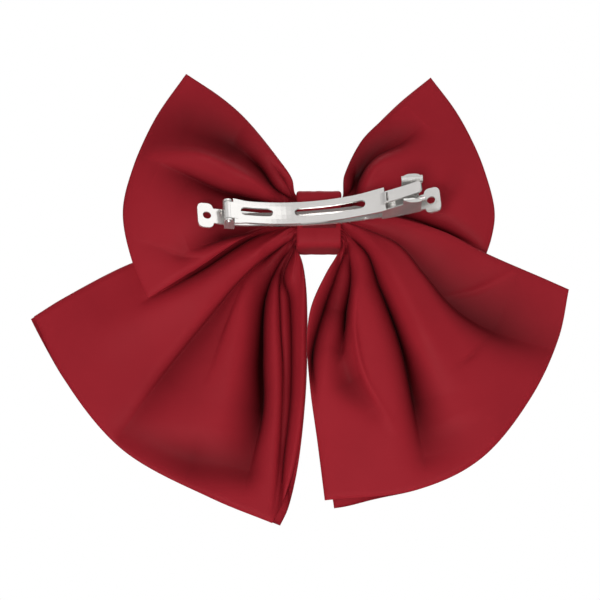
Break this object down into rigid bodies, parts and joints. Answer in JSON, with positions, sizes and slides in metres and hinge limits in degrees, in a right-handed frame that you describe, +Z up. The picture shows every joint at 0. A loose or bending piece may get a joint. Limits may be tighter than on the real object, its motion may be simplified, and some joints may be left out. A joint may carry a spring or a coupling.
{
  "type": "hair bow",
  "caption": "Large satin bow with doubled loops and tails, gathered by a knot band and fixed across a sprung metal hair clip.",
  "frame": {"origin": "middle of the barrette's hair channel, half way between the base plate and the clasp arm", "axes": "+Z up as worn, +X towards the catch end, -Y towards the head (the barrette's side), +Y the bow's show side"},
  "size_m": [0.1776, 0.0559, 0.1483],
  "materials": {
    "crimson_satin": "smooth polyester satin with a soft sheen",
    "sewing_thread": "spun polyester thread",
    "clear_glue": "set hot-melt glue",
    "nickel_plate": "bright nickel plate on pressed steel",
    "spring_steel": "bright rolled spring steel"
  },
  "bodies": {
    "bow": {"left_loop_head_ply": "crimson_satin", "left_loop_show_ply": "crimson_satin", "right_loop_head_ply": "crimson_satin", "right_loop_show_ply": "crimson_satin", "left_tail_head_ply": "crimson_satin", "left_tail_show_ply": "crimson_satin", "right_tail_head_ply": "crimson_satin", "right_tail_show_ply": "crimson_satin", "knot_band": "crimson_satin", "gathering_thread": "sewing_thread", "glue_pad": "clear_glue", "base_plate": "nickel_plate", "hinge_pin": "nickel_plate", "catch_floor": "spring_steel"},
    "arm": {"clasp_arm": "nickel_plate"},
    "leaf": {"tension_leaf": "spring_steel"},
    "catch_upper": {"catch_side_upper": "spring_steel"},
    "catch_lower": {"catch_side_lower": "spring_steel"}
  },
  "joints": [
    {"name": "clasp_hinge", "type": "hinge", "parent": "bow", "child": "arm", "pos_m": [-0.02981, -0.00635, -0.00232], "axis": [0.0776, 0, -0.997], "range_deg": [0, 105]},
    {"name": "leaf_press", "type": "hinge", "parent": "bow", "child": "leaf", "pos_m": [-0.02492, -0.00168, -0.00194], "axis": [-0.0776, 0, 0.997], "range_deg": [0, 3], "stiffness_Nm_per_rad": 0.05},
    {"name": "catch_upper_squeeze", "type": "hinge", "parent": "bow", "child": "catch_upper", "pos_m": [0.03016, -0.0035, 0.00561], "axis": [0.997, 0, 0.0776], "range_deg": [0, 6], "stiffness_Nm_per_rad": 0.05},
    {"name": "catch_lower_squeeze", "type": "hinge", "parent": "bow", "child": "catch_lower", "pos_m": [0.03066, -0.0035, -0.00087], "axis": [-0.997, 0, -0.0776], "range_deg": [0, 6], "stiffness_Nm_per_rad": 0.05}
  ],
  "couplings": [
    {"joint": "catch_lower_squeeze", "follows": "catch_upper_squeeze", "ratio": 1}
  ]
}
